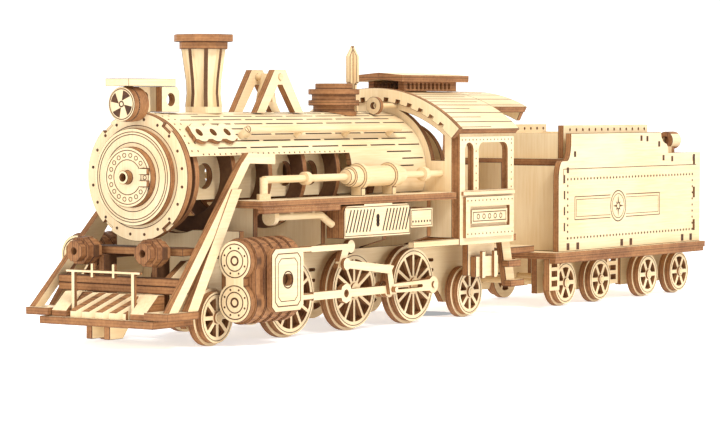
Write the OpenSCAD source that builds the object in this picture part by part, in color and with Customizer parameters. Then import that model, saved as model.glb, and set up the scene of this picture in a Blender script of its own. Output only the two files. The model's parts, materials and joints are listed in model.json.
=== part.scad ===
// Wooden 3-D jigsaw of a steam locomotive and its tender, built from 2 mm plywood sheets.
// Frame: X runs from the pilot (-X) to the tender (+X), Z is up, and the wheels stand on Z = 0.

/* [Sheet] */
// Thickness of the plywood sheet
ply = 2; // [1.8:0.1:2]
// Radial clearance of a turning or sliding fit
fit = 0.06; // [0.03:0.01:0.09]

/* [Overall] */
// Length from the pilot board to the rear coupler
total_len = 304.8; // [304:0.1:306]
// Width across the cylinder side plates
total_w = 69.8; // [69:0.1:71]
// Height of the chimney's top plate
total_h = 82.5; // [81:0.1:84]

/* [Wheels] */
// Flange radius of the driving wheels
driver_r = 11.3; // [11:0.1:11.4]
// Flange radius of the leading and trailing wheels
guide_r = 7.6; // [7.2:0.1:7.8]
// Flange radius of the tender wheels
tender_r = 7.4; // [7:0.1:7.5]
// How much the tread is smaller than the flange
flange_h = 0.8; // [0.6:0.1:1]
// Distance of a wheel's outer face from the middle
wheel_face = 20; // [19.8:0.1:20]
// Radius of the crank circle
crank_r = 4.3; // [3:0.1:4.5]

/* [Boiler] */
// Height of the boiler's axis
boiler_z = 44.4; // [44:0.1:45]
// Outer radius of the boiler
boiler_r = 17; // [16.8:0.1:17]

/* [Cab] */
// Distance of the cab sides' outer face from the middle
cab_y = 28; // [28:0.1:28.4]
// Height of the roof's ridge
roof_z = 67.5; // [67:0.1:68]
// Radius of the roof's curve
roof_r = 42.4; // [42:0.1:43]

/* [Hidden] */
$fn = 48;
FRONT = -total_len / 2;
REAR = total_len / 2;
AXLE_R = 1;
BORE_R = AXLE_R + fit;
PIN_R = 0.9;
FRAME_Y = 13;
TRUCK_Y = 12;
LEADING_X = -126.75;
DRIVER_X = [-93.95, -64.05, -34.15];
TRAILING_X = -3.85;
TENDER_X = [52.25, 74.15, 105.55, 127.25];
WAIST_Z = 22.5;
DECK_Z = 7;
BUFFER_Y = 11.6;
BUFFER_R = [2.9, 3.8, 4, 3.2];
BOILER_TOP = boiler_z + boiler_r;
SMOKE_X = -135.25;
SHELL_X = -133.2;
CAB_X = -21.9;
SHELL_EDGE_Z = 49.8;
CYL_X = -126.5;
CYL_LAYERS = 10;
CYL_IN = 21.2;
CYL_Y = 27.1;
CYL_LOW = 11.9;
CYL_HIGH = 22.8;
ROD_Y = 25.3;
ROD_END = -113;
PISTON_Z = driver_r + 0.1;
VALVE_Z = 24.3;
CRANK_PIN_X = DRIVER_X[2] + crank_r;
CROSSHEAD_X = -55.45;
CHIMNEY_X = -106.85;
CAP_Z = total_h - 2 * ply;
BELL_X = -78.6;
BELL_Z = 71.2;
LAMP_X = -141.6;
LAMP_Z = 63.6;
VISOR_Z = 68.3;
DOME_X = -45.8;
WHISTLE_X = -36.4;
DOME_R = [6.6, 6, 7.4, 6.4, 7.4, 5.4];
BOARD_Z = 37;
ROOF_C = roof_z - roof_r;
DRAW_X = 24;
BASE_Z = 16.6;
SIDE_Y = 23;
BIRCH = "BlanchedAlmond";
BURNT = "Sienna";

// ---- sheets lying in the three main planes; the outline is drawn flat and lands in place ----
module sheet_x(x, h = ply) translate([x, 0, 0]) rotate([90, 0, 90]) linear_extrude(h, center = true) children();
module sheet_y(y, h = ply) translate([0, y, 0]) rotate([90, 0, 0]) linear_extrude(h, center = true) children();
module sheet_z(z, h = ply) translate([0, 0, z]) linear_extrude(h, center = true) children();
module both_sides() {
    children();
    mirror([0, 1, 0]) children();
}
module bar_x(x0, x1, y, z, r) translate([x0, y, z]) rotate([0, 90, 0]) cylinder(r = r, h = x1 - x0);
module bar_y(x, y0, y1, z, r) translate([x, y1, z]) rotate([90, 0, 0]) cylinder(r = r, h = y1 - y0);
module box(x0, x1, y0, y1, z0, z1) translate([x0, y0, z0]) cube([x1 - x0, y1 - y0, z1 - z0]);
module rect(x0, x1, y0, y1) translate([x0, y0]) square([x1 - x0, y1 - y0]);
module slot(x0, x1, y, w) {
    rect(x0, x1, y - w / 2, y + w / 2);
    translate([x0, y]) circle(w / 2);
    translate([x1, y]) circle(w / 2);
}
module eye(x, y, r, hole) translate([x, y]) difference() {
    circle(r);
    circle(hole);
}
// A window with an arched top
module arch(x0, x1, y0, y1, r) {
    rect(x0, x1, y0, y1 - r);
    rect(x0 + r, x1 - r, y0, y1);
    for (x = [x0 + r, x1 - r]) translate([x, y1 - r]) circle(r);
}

// ---- wheels ----
module wheel_outline(r, rim, hub, spokes, spoke_w) difference() {
    circle(r);
    circle(AXLE_R + fit / 2);
    difference() {
        circle(r - rim);
        circle(hub);
        for (i = [0:spokes - 1]) rotate(i * 360 / spokes) rect(0, r, -spoke_w / 2, spoke_w / 2);
    }
}
module wheel(r, hub, spokes, spoke_w) {
    sheet_y(ply / 2 - wheel_face) wheel_outline(r - flange_h, 1.7, hub, spokes, spoke_w);
    sheet_y(ply * 1.5 - wheel_face) wheel_outline(r, 1.7 + flange_h, hub, spokes, spoke_w);
    sheet_y(-wheel_face - 0.3, 0.6) eye(0, 0, hub * 0.8, AXLE_R + fit / 2);
}
module wheelset(x, r, hub, spokes, spoke_w) translate([x, 0, r]) {
    color(BIRCH) both_sides() wheel(r, hub, spokes, spoke_w);
    color(BURNT) bar_y(0, -wheel_face - 0.7, wheel_face + 0.7, 0, AXLE_R);
}
module driver_wheelset(i) wheelset(DRIVER_X[i], driver_r, 2.7, 12, 0.9);
module driver_wheelset_3() {
    driver_wheelset(2);
    color(BURNT) both_sides() {
        bar_y(CRANK_PIN_X, -24.7, -wheel_face, driver_r, PIN_R);
        bar_y(CRANK_PIN_X, -21.9, -wheel_face, driver_r, 1.7);
    }
}
module leading_wheelset() wheelset(LEADING_X, guide_r, 2, 8, 1.1);
module trailing_wheelset() wheelset(TRAILING_X, guide_r, 2, 8, 1.1);
module tender_wheelset(i) wheelset(TENDER_X[i], tender_r, 1.9, 6, 1.3);

// ---- chassis ----
module frame_plates() color(BIRCH) both_sides() sheet_y(-FRAME_Y) difference() {
    polygon([[-139.2, 8.1], [-134.5, 8.1], [-132, 4.6], [-121, 4.6], [-117, 8.2], [-12, 8.2], [-9, 4.6],
        [2, 4.6], [5, 9], [12.9, 11], [12.9, WAIST_Z], [-132, WAIST_Z], [-139.2, 18]]);
    for (x = DRIVER_X) translate([x, driver_r]) circle(BORE_R);
    for (x = [LEADING_X, TRAILING_X]) translate([x, guide_r]) circle(BORE_R);
    for (x = [-111, -84, -54, -24], z = [14.5, 17.5]) slot(x, x + 9, z, 1);
}
// Cross sheets between the frame plates, with wings that carry the running boards
module cross_outline(wing) difference() {
    polygon([[-11.95, 10], [11.95, 10], [11.95, WAIST_Z + 0.1], [wing, 25], [wing, BOARD_Z - ply / 2],
        [-wing, BOARD_Z - ply / 2], [-wing, 25], [-11.95, WAIST_Z + 0.1]]);
    translate([0, boiler_z]) circle(boiler_r - 1.65);
    for (s = [-1, 1]) translate([s * 6, 17]) circle(3);
}
module cross_members() color(BIRCH) {
    for (x = [-110, -79, -49, -26]) sheet_x(x) cross_outline(20);
    sheet_x(-117.5) intersection() {
        cross_outline(21.1);
        rect(-25, 25, 10, 30);
    }
}
module pilot_deck() color(BIRCH) sheet_z(DECK_Z) difference() {
    rect(FRONT, -136, -19.2, 19.2);
    for (s = [-1, 1]) translate([-140, s * 8]) circle(1.4);
}
module coupler_pocket() color(BIRCH) for (y = [-3, 3]) sheet_y(y) polygon([[FRONT + 1, 2.6], [-146, 2.6],
    [-143, DECK_Z - ply / 2], [FRONT + 1, DECK_Z - ply / 2]]);
// Wedge-shaped end blocks with slats set slantwise between them
module wedge(y, w) sheet_y(y, w) polygon([[FRONT + 1, DECK_Z + 1], [-143.5, DECK_Z + 1], [-143.5, 14.3],
    [-146, 14.3], [FRONT + 1, 9.6]]);
module pilot_slats() color(BIRCH) {
    for (y = [-12.8, 12.8]) difference() {
        wedge(y, 6);
        box(FRONT, -148.4, y + (y < 0 ? 2 : -4), y + (y < 0 ? 4 : -2), DECK_Z + 1.1, 13);
    }
    intersection() {
        wedge(0, 18.8);
        for (i = [-3:3]) translate([-147.5, i * 4.6, DECK_Z + 1]) rotate(-48) box(-9, 9, -0.8, 0.8, 0, 8);
    }
}
module pilot_beams() color(BURNT) {
    for (z = [14.4, 16.45]) translate([0, 0, z]) box(-143.4, -139.3, -20.4, 20.4, 0, ply);
    box(-137.4, -130, -17, 17, 24, 26);
    for (y = [-9, 9]) sheet_y(y) polygon([[-139.2, 8.1], [-134, 8.1], [-134, 23.9], [-139.2, 23.9]]);
}
module buffers() color(BURNT) for (y = [-BUFFER_Y, BUFFER_Y]) {
    bar_x(-145.2, -137.5, y, 25, PIN_R);
    for (i = [0:3]) translate([-147.4 + i * ply, y, 25]) rotate([0, 90, 0]) rotate(22.5) difference() {
        cylinder(r = BUFFER_R[i], h = ply, $fn = 8);
        translate([0, 0, -1]) cylinder(r = PIN_R + fit / 2, h = ply + 2);
    }
}
module front_handrail() color(BIRCH) sheet_x(-149, 1) {
    rect(-12.6, 12.6, 19.6, 20.4);
    for (y = [-10.1, 10.1]) rect(y - 0.6, y + 0.6, 9.9, 20.4);
    for (y = [-3.6, 3.6]) rect(y - 0.5, y + 0.5, 18.4, 22.2);
}
module step_boards() color(BIRCH) both_sides() {
    sheet_z(9.2) difference() {
        polygon([[FRONT, -24], [-139.6, -24], [-139.6, -16.2], [FRONT, -16.2]]);
        for (x = [-149.5, -142.5]) translate([x, -20]) circle(0.8);
    }
}
module brace_bar(x0, z0, y0, x1, z1, y1, half) hull() {
    translate([x0, y0, z0]) box(-half, half, -ply / 2, ply / 2, 0, 0.1);
    translate([x1, y1, z1]) box(-half, half, -ply / 2, ply / 2, 0, 0.1);
}
module brace_plates() color(BIRCH) both_sides() {
    brace_bar(-149.5, 10.25, -22.6, -113, 48, -18.2, 1.8);
    brace_bar(-141.5, 10.25, -22.6, -118.6, 41, -19.4, 2.1);
    sheet_y(-18.2) polygon([[-114.8, 47.9], [-100, 47.4], [-100, 50], [-112, 50.6]]);
}

// ---- boiler ----
module smokebox_ring() color(BURNT) difference() {
    translate([SMOKE_X, 0, boiler_z]) rotate([0, 90, 0]) cylinder(r = boiler_r, h = ply);
    for (a = [38, -38, 142, 218]) translate([SMOKE_X, 0, boiler_z]) rotate([a, 0, 0])
        box(-1, 1, -1.6, 1.6, boiler_r - 1.2, boiler_r + 1);
}
module door_disc(i, r) translate([SMOKE_X - i * ply, 0, boiler_z]) rotate([0, 90, 0]) difference() {
    cylinder(r = r, h = ply);
    translate([0, 0, -1]) cylinder(r = 1, h = ply + 2);
}
module smokebox_door() color(BIRCH) {
    door_disc(1, 12.85);
    door_disc(2, 7.9);
    door_disc(3, 1.8);
    for (z = [1.6, -1.6]) box(SMOKE_X - 2 * ply - 0.9, SMOKE_X - 2 * ply, -7.3, -4.4, boiler_z + z - 0.8,
        boiler_z + z + 0.8);
}
// A bent tube of sheet, open below a level edge that drops in steps towards the cab
module boiler_shell() color(BIRCH) difference() {
    bar_x(SHELL_X, CAB_X - 1.05, 0, boiler_z, boiler_r);
    bar_x(SHELL_X - 1, CAB_X, 0, boiler_z, boiler_r - 1.6);
    box(SHELL_X - 1, -61, -boiler_r - 1, boiler_r + 1, 0, SHELL_EDGE_Z);
    box(-62, -55, -boiler_r - 1, boiler_r + 1, 0, SHELL_EDGE_Z - 3.4);
    box(-56, -49, -boiler_r - 1, boiler_r + 1, 0, SHELL_EDGE_Z - 7.4);
    box(-50, CAB_X, -boiler_r - 1, boiler_r + 1, 0, BOARD_Z + 1.05);
}
module boiler_ribs() color(BURNT) for (x = [-129, -113, -97, -81, -65, -49, -33]) sheet_x(x)
    translate([0, boiler_z]) difference() {
        circle(boiler_r - 1.7);
        circle(11);
    }
module boiler_plates() color(BIRCH) both_sides() sheet_y(-8, 1.9) difference() {
    rect(SHELL_X + 0.2, CAB_X - 1, boiler_z - 6.3, boiler_z + 6.3);
    for (x = [-118:12:-34]) translate([x, boiler_z]) circle(3.4);
}
module headlamp_disc() color(BURNT) {
    bar_x(LAMP_X, LAMP_X + ply, 0, LAMP_Z, 4.5);
    bar_x(LAMP_X + ply, LAMP_X + 2 * ply, 0, LAMP_Z, VISOR_Z - LAMP_Z);
    bar_x(LAMP_X + 2 * ply, LAMP_X + 3 * ply, 0, LAMP_Z, 4.5);
}
module headlamp_box() color(BIRCH) {
    sheet_y(0) difference() {
        rect(LAMP_X + 3 * ply, -130.9, BOILER_TOP, VISOR_Z - 0.1);
        translate([-133, 65.6]) circle(1.1);
    }
    for (y = [-3, 3]) sheet_y(y) difference() {
        polygon([[-129.8, 61.5], [-122.2, 61.5], [-122.2, 67], [-123.4, VISOR_Z - 0.1], [-129.8, VISOR_Z - 0.1]]);
        translate([-126, 64.8]) circle(1.7);
    }
    sheet_x(-128.2) rect(-1.95, 1.95, 61.6, 68.2);
}
module headlamp_visor() color(BIRCH) sheet_z(VISOR_Z + ply / 2) difference() {
    union() {
        rect(-143.4, -124, -4, 4);
        translate([-124, 0]) circle(3.2);
    }
    for (i = [0:4]) rect(-133 + i * 1.9, -132.4 + i * 1.9, -3, 3);
}
module chimney_funnel() color(BIRCH) translate([CHIMNEY_X, 0, 0]) difference() {
    union() {
        translate([0, 0, 60.2]) cylinder(r = 5, h = 3);
        rotate_extrude() polygon([[0, 62.5], [4, 62.5], [3.7, 66], [4, 70], [5.2, CAP_Z], [0, CAP_Z]]);
        for (a = [0:45:315]) rotate(a) rotate([90, 0, 0]) linear_extrude(1.2, center = true)
            polygon([[0, 62.5], [5, 62.5], [4.6, 66.5], [4.8, 70], [6, CAP_Z - 0.1],
                [0, CAP_Z - 0.1]]);
    }
    translate([0, 0, 60]) cylinder(r = 2.6, h = 20);
    translate([-CHIMNEY_X, 0, 0]) bar_x(CHIMNEY_X - 9, CHIMNEY_X + 9, 0, boiler_z, boiler_r + 0.02);
}
module chimney_caps() color(BURNT) translate([CHIMNEY_X, 0, 0]) difference() {
    union() {
        translate([0, 0, CAP_Z]) rotate(22.5) cylinder(r = 6.8, h = ply, $fn = 8);
        translate([0, 0, CAP_Z + ply]) rotate(22.5) cylinder(r = 8.3, h = ply, $fn = 8);
    }
    translate([0, 0, CAP_Z - 1]) cylinder(r = 3.6, h = 8);
}
module bell_frame() color(BIRCH) for (y = [-4, 4]) sheet_y(y) difference() {
    polygon([[BELL_X - 11, 61.2], [BELL_X - 7, 61.2], [BELL_X - 1, 69], [BELL_X + 1, 69], [BELL_X + 7, 61.2],
        [BELL_X + 11, 61.2], [BELL_X + 2.6, 73.2], [BELL_X - 2.6, 73.2]]);
    translate([BELL_X, BELL_Z]) circle(PIN_R + fit);
}
module bell() translate([BELL_X, 0, 0]) {
    color(BURNT) bar_y(0, -5.4, 5.4, BELL_Z, PIN_R);
    color(BIRCH) difference() {
        for (a = [0, 45, 90, 135]) rotate(a) rotate([90, 0, 0]) linear_extrude(1.2, center = true)
            polygon([[-1.2, 72.2], [1.2, 72.2], [1.6, 69.6], [2.5, 66.4], [2.8, 64.2], [-2.8, 64.2], [-2.5, 66.4],
                [-1.6, 69.6]]);
        bar_y(0, -5, 5, BELL_Z, PIN_R + fit / 2);
    }
}
module emblem_plates() color(BIRCH) both_sides() translate([-120.6, 0, boiler_z]) rotate([50, 0, 0])
    translate([0, 0, boiler_r + 0.7]) linear_extrude(1.2, center = true) difference() {
        union() {
            rect(-9, 9, -2.4, 2.4);
            for (x = [-6, 0, 6]) translate([x, 0]) circle(3.2);
        }
        for (x = [-6, 0, 6]) translate([x, 0]) circle(1.1);
    }
module boiler_handrails() color(BIRCH) both_sides() translate([0, 0, boiler_z]) rotate([52, 0, 0]) {
    bar_x(-108, -35, 0, boiler_r + 3.2, 1);
    for (x = [-106, -83, -60, -38]) translate([x, 0, boiler_r]) cylinder(r = 0.8, h = 3);
    translate([-108, 0, boiler_r]) cylinder(r = 1, h = 3.2);
}
module steam_dome() color(BURNT) difference() {
    for (i = [0:5]) translate([DOME_X, 0, 60 + i * 1.6]) cylinder(r = DOME_R[i], h = 1.6);
    bar_x(-60, -30, 0, boiler_z, boiler_r + 0.02);
}
module whistle() color(BIRCH) {
    bar_x(-33.4, -23.2, -6.4, 63.2, 0.7);
    translate([-35, -6.4, 63.2]) rotate([0, 90, 0]) difference() {
        cylinder(r = 2.6, h = 1.6);
        translate([0, 0, -1]) cylinder(r = 0.9, h = 4);
    }
    translate([WHISTLE_X, 0, 0]) for (a = [0, 90]) rotate(a) rotate([90, 0, 0]) linear_extrude(1.2, center = true)
        polygon([[-1.8, BOILER_TOP], [1.8, BOILER_TOP], [1.8, 63.4], [1.2, 65], [1.2, 69.4], [2, 70], [2, 77.6],
            [0, 80.8], [-2, 77.6], [-2, 70], [-1.2, 69.4], [-1.2, 65], [-1.8, 63.4]]);
}

// ---- along the boiler ----
module running_boards() color(BIRCH) both_sides() {
    sheet_z(BOARD_Z) difference() {
        rect(-117, CAB_X - 1.1, -27.6, -16.9);
        for (x = [-95, -75, -55, -35]) slot(x, x + 5, -19, 1.2);
    }
    sheet_y(-27) rect(-117, -82, BOARD_Z - 2.4, BOARD_Z - 1);
}
module air_tanks() color(BIRCH) both_sides() {
    bar_x(-69.5, -45.2, -22, 43.4, 2.9);
    bar_x(-71.3, -43.4, -22, 43.4, 2.2);
    for (x = [-66, -50.6]) translate([x, -22, 43.4]) difference() {
        union() {
            rotate([0, 90, 0]) cylinder(r = 3.7, h = ply);
            box(0, ply, -1.8, 1.8, BOARD_Z + 1 - 43.4, 0);
        }
        translate([-1, 0, 0]) rotate([0, 90, 0]) cylinder(r = 2.9, h = ply + 2);
    }
}
module air_pipes() color(BIRCH) both_sides() {
    bar_x(-109, -71.4, -22, 43.4, 1);
    bar_x(-43.3, CAB_X - 1.1, -22, 43.4, 1);
    bar_x(-33, -31, -22, 43.4, 2);
    bar_x(-91, -89, -22, 43.4, 1.8);
    translate([-109, -22, BOARD_Z + 1]) cylinder(r = 1.1, h = 6);
    translate([-109, -22, BOARD_Z + 1]) cylinder(r = 1.9, h = 1.6, $fn = 6);
    bar_x(-108, -86, -24, 33.4, 1);
    bar_x(-109.5, -107.6, -24, 33.4, 2.2);
    translate([-86, -24, 33.4]) rotate([0, 118, 0]) cylinder(r = 1, h = 6.2);
    for (x = [-100, -90]) box(x - 0.7, x + 0.7, -24.7, -23.3, 34, BOARD_Z - 1);
}
module feed_boxes() color(BIRCH) both_sides() {
    sheet_y(-24.5, 6) {
        arch(-79.6, -47, 26.6, 35.6, 1.8);
        rect(-46.9, -35.4, 28.4, 34);
        rect(-70, -56, 31.1, BOARD_Z - 1);
    }
}
// Ten layers stacked along the cylinders, alternately a little larger and smaller
module cylinder_blocks() color(BURNT) both_sides() difference() {
    for (i = [0:CYL_LAYERS - 1]) {
        r = i % 2 == 0 ? 5.9 : 5.4;
        sheet_x(CYL_X + (i + 0.5) * ply) {
            for (z = [CYL_LOW, CYL_HIGH]) translate([-CYL_Y, z]) circle(r);
            rect(-CYL_Y - r + 0.5, -CYL_IN, CYL_LOW, CYL_HIGH);
        }
    }
    for (z = [PISTON_Z, VALVE_Z]) bar_x(CYL_X + 4, CYL_X + CYL_LAYERS * ply + 1, -ROD_Y, z, PIN_R + fit);
}
module cylinder_covers() color(BIRCH) both_sides() {
    sheet_x(CYL_X - ply / 2) {
        for (z = [CYL_LOW, CYL_HIGH]) translate([-CYL_Y, z]) circle(5.3);
        rect(-CYL_Y - 3, -CYL_Y + 3, CYL_LOW, CYL_HIGH);
    }
    sheet_y(-total_w / 2 + 0.95, 1.9) difference() {
        polygon([[-122.5, 10.6], [-121, 9.2], [-110, 9.2], [-108.5, 10.6], [-108.5, 24.4], [-110, 25.8],
            [-121, 25.8], [-122.5, 24.4]]);
        translate([-115.5, 17.5]) slot(-0.5, 0.5, 0, 3);
    }
}

// ---- cab ----
module cab_sides() color(BIRCH) both_sides() {
    sheet_y(ply / 2 - cab_y) difference() {
        polygon([[CAB_X + 0.1, 22.5], [8, 22.5], [8, 54.1], [CAB_X + 0.1, 54.1]]);
        arch(-19, -14.4, 38.4, 52.4, 2.2);
        arch(-11.6, 4.6, 38.4, 52.4, 2.4);
    }
    sheet_y(-cab_y - 0.5, 1) difference() {
        rect(-20, 6.5, 24.5, 36.4);
        rect(-17.6, 4.1, 27.6, 33.6);
    }
    sheet_y(-cab_y - 0.4, 0.8) rect(-16.6, 3.1, 28.6, 32.6);
    sheet_y(-cab_y - 0.4, 0.8) rect(-21, 7.4, 37, 38);
}
module cab_front() color(BIRCH) sheet_x(CAB_X) difference() {
    intersection() {
        rect(-25.9, 25.9, 24.6, 70);
        translate([0, ROOF_C]) circle(roof_r - ply - 0.05);
    }
    for (s = [-1, 1]) intersection() {
        translate([0, ROOF_C]) circle(roof_r - ply - 3);
        difference() {
            rect(s > 0 ? 8 : -23.4, s > 0 ? 23.4 : -8, 47.2, 64);
            translate([0, boiler_z]) circle(boiler_r + 2);
        }
    }
}
module roof_arc(x0, x1, r_out, wall, half) translate([x0, 0, ROOF_C]) rotate([90, 0, 90])
    rotate([0, 0, 90 - half]) rotate_extrude(angle = 2 * half) translate([r_out - wall, 0])
    square([wall, x1 - x0]);
module cab_roof() color(BIRCH) {
    roof_arc(CAB_X - 1.1, 10.2, roof_r, ply, 42.5);
    roof_arc(10.2, 30, roof_r, ply, 27);
}
module roof_arches() color(BURNT) {
    sheet_x(CAB_X - 2.2) difference() {
        translate([0, ROOF_C]) intersection() {
            circle(roof_r + 1);
            polygon([[0, 0], [-41, 43], [-20, 70], [20, 70], [41, 43]]);
        }
        translate([0, ROOF_C]) circle(roof_r - 3);
        for (a = [-36:6:36]) translate([0, ROOF_C]) rotate(a) rect(-0.7, 0.7, roof_r - 4, roof_r - 1.8);
    }
    sheet_x(8.9) difference() {
        translate([0, ROOF_C]) intersection() {
            circle(roof_r - ply - 0.05);
            polygon([[0, 0], [-28.8, 43], [-20, 70], [20, 70], [28.8, 43]]);
        }
        translate([0, ROOF_C]) circle(roof_r - 5);
    }
    sheet_x(28.9) difference() {
        translate([0, ROOF_C]) intersection() {
            circle(roof_r - ply - 0.05);
            polygon([[0, 0], [-19, 38], [-10, 70], [10, 70], [19, 38]]);
        }
        translate([0, ROOF_C]) circle(roof_r - 5);
    }
}
module roof_lantern() color(BIRCH) {
    for (y = [-5.4, 5.4]) sheet_y(y) difference() {
        rect(-19, 9.6, 67.52, 70.45);
        for (x = [-17:2.2:7]) rect(x, x + 1.1, 68.1, 69.9);
    }
    for (s = [-1, 1]) translate([0, 0, 72]) rotate([s * 5, 0, 0]) box(-23, 13.5, s > 0 ? -8.4 : 0, s > 0 ? 0 : 8.4,
        -1, 1);
}
module backhead() color(BIRCH) {
    sheet_x(-9) difference() {
        union() {
            translate([0, boiler_z]) circle(14);
            rect(-14, 14, 24.6, boiler_z);
        }
        translate([0, boiler_z + 3]) circle(4);
    }
    sheet_x(-7.4, 1.2) translate([0, 34]) circle(4.4);
}
module cab_floor() color(BIRCH) {
    sheet_z(23.55, 1.9) rect(CAB_X + 1.1, 12.9, -25.9, 25.9);
    both_sides() sheet_y(-27, 1.8) rect(-46, CAB_X - 0.1, 22.6, 24.4);
    both_sides() sheet_x(14, 1.8) rect(-20.5, -12.2, 22.6, 46);
}
module cab_steps() color(BIRCH) both_sides() {
    sheet_y(-22.6) polygon([[-10.6, 12.8], [4.2, 12.8], [4.2, 22.55], [-10.6, 22.55]]);
    sheet_y(-24.7) rect(-9.4, 3, 12.4, 18.6);
    for (x = [-7.4, -0.8]) sheet_y(-26.2, 0.9) rect(x, x + 1.8, 12, 20);
    sheet_y(-22.6) polygon([[8, 22.55], [12.9, 22.55], [16.4, 8.6], [11.4, 8.6]]);
    sheet_z(9.6) rect(9.6, 17.6, -26, -23.65);
    sheet_z(15.6) rect(8.4, 15.6, -26, -23.65);
}
module fall_plate() {
    color(BIRCH) sheet_z(18.9) rect(13, 33.8, -19.6, 19.6);
    color(BIRCH) sheet_x(14, 1.9) rect(-11.9, 11.9, 12, 17.8);
    color(BURNT) translate([DRAW_X, 0, 11.6]) cylinder(r = 1.5, h = 7);
}

// ---- rods ----
module main_rod(s) color(BIRCH) scale([1, s, 1]) sheet_y(-23.2, 1.8) difference() {
    union() {
        translate([CROSSHEAD_X, driver_r]) circle(2.2);
        translate([CRANK_PIN_X, driver_r]) circle(2.5);
        polygon([[CROSSHEAD_X, driver_r - 1.2], [CRANK_PIN_X, driver_r - 1.7], [CRANK_PIN_X, driver_r + 1.7],
            [CROSSHEAD_X, driver_r + 1.2]]);
    }
    translate([CROSSHEAD_X, driver_r]) circle(1.2);
    translate([CRANK_PIN_X, driver_r]) circle(PIN_R + fit);
    slot(CROSSHEAD_X + 5, CRANK_PIN_X - 6, driver_r, 0.9);
}
module crosshead_piece(s) scale([1, s, 1]) {
    color(BIRCH) sheet_y(-ROD_Y, 1.6) difference() {
        union() {
            rect(-92, CROSSHEAD_X, PISTON_Z - 1.1, PISTON_Z + 1.1);
            translate([-76.5, PISTON_Z]) circle(2.8, $fn = 8);
            translate([CROSSHEAD_X, PISTON_Z]) circle(2.3);
        }
        translate([-76.5, PISTON_Z]) circle(1.1);
    }
    color(BURNT) bar_x(ROD_END, -91.9, -ROD_Y, PISTON_Z, PIN_R);
    color(BURNT) bar_y(CROSSHEAD_X, -28.6, -26.1, PISTON_Z, 0.8);
    color(BIRCH) sheet_y(-26.75, 1.1) difference() {
        polygon([[CROSSHEAD_X - 1.3, 10], [CROSSHEAD_X + 1.3, 10], [CROSSHEAD_X - 0.9, 18.6],
            [CROSSHEAD_X - 3.3, 18.6]]);
        translate([CROSSHEAD_X, PISTON_Z]) circle(0.8 + fit / 2);
    }
    color(BIRCH) sheet_y(-27.9, 1.1) {
        polygon([[CROSSHEAD_X - 3, 16], [CROSSHEAD_X - 1, 18.2], [-79.6, 20.8], [-79.6, 18.6]]);
        translate([-79.4, 19.7]) circle(1.7);
    }
    color(BURNT) bar_y(-79.4, -27.3, -25, 19.7, 0.8);
    color(BIRCH) sheet_y(-ROD_Y, 1.6) difference() {
        union() {
            polygon([[-80.8, 18.6], [-78, 18.6], [-74.4, VALVE_Z], [-77.6, VALVE_Z + 0.9]]);
            rect(-93, -74.2, VALVE_Z - 0.8, VALVE_Z + 0.8);
            translate([-74.2, VALVE_Z]) circle(1.8);
        }
        translate([-79.4, 19.7]) circle(0.8 + fit / 2);
    }
    color(BURNT) bar_x(ROD_END, -92.9, -ROD_Y, VALVE_Z, PIN_R);
}
module main_rod_left() main_rod(1);
module main_rod_right() main_rod(-1);
module crosshead_left() crosshead_piece(1);
module crosshead_right() crosshead_piece(-1);

// ---- tender ----
module tender_base() color(BIRCH) {
    sheet_z(BASE_Z) difference() {
        rect(36, 134.4, -26, 26);
        for (x = [42:8:126], s = [-1, 1]) translate([x, s * 25]) circle(0.4);
    }
    both_sides() sheet_y(-24.6) rect(36.5, 134, 14.2, BASE_Z - 1);
}
module side_outline() difference() {
    polygon(concat([[41, 17.6], [134.4, 17.6], [134.4, 47.5], [112, 47.5]],
        [for (a = [0:30:90]) [109.4 + 2.6 * cos(a), 48.6 + 2.4 * sin(a)]],
        [for (a = [0:30:90]) [109.4 - 2.4 * sin(a), 53.4 - 2.4 * cos(a) + 1.1 * (a / 90)]], [[48.6, 54.5]],
        [for (a = [0:15:90]) [46.2 + 2.4 * cos(a), 52 - 6 * sin(a)]],
        [for (a = [0:15:90]) [43.4 - 2.4 * sin(a), 40 + 6 * cos(a)]]));
    for (z = [21.4:11:50]) rect(129.4, 130.6, z, z + 3.4);
}
module tender_sides() color(BIRCH) both_sides() sheet_y(-SIDE_Y) side_outline();
module tender_walls() color(BIRCH) {
    sheet_x(46) rect(-21.95, 21.95, 17.65, 44.5);
    sheet_x(129.9) rect(-21.95, 21.95, 17.65, 47.4);
    for (x = [60, 114]) sheet_x(x) difference() {
        rect(-21.95, 21.95, 17.65, 44.5);
        translate([0, 31]) circle(9);
    }
}
module tender_bunker() color(BIRCH) {
    sheet_z(45.5) rect(47.05, 128.85, -21.95, 21.95);
    both_sides() sheet_y(-19.4) difference() {
        rect(50, 104, 46.55, 57);
        for (x = [54:4:102]) translate([x, 55.6]) circle(0.5);
    }
    for (x = [51.2, 102.8]) sheet_x(x) rect(-18.35, 18.35, 46.55, 54.5);
    sheet_x(119) rect(-21.95, 21.95, 46.55, 49.6);
}
module tender_trucks() color(BIRCH) both_sides() {
    for (g = [0, 2]) sheet_y(-TRUCK_Y) difference() {
        polygon([[TENDER_X[g] - 6, 4], [TENDER_X[g] + 4, 4], [TENDER_X[g] + 7, 9], [TENDER_X[g + 1] - 7, 9],
            [TENDER_X[g + 1] - 4, 4], [TENDER_X[g + 1] + 6, 4], [TENDER_X[g + 1] + 6, 15.55],
            [TENDER_X[g] - 6, 15.55]]);
        for (i = [g, g + 1]) translate([TENDER_X[i], tender_r]) circle(BORE_R);
    }
    sheet_y(-14.5) difference() {
        rect(86.2, 93.4, 4.9, 15.55);
        for (z = [6.4, 9.4, 12.4]) rect(87.6, 92, z, z + 1.6);
    }
    sheet_y(-22.5) difference() {
        rect(36.4, 42.6, 5.7, 15.55);
        for (z = [7, 10, 13]) rect(37.8, 41.2, z, z + 1.8);
    }
}
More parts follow.
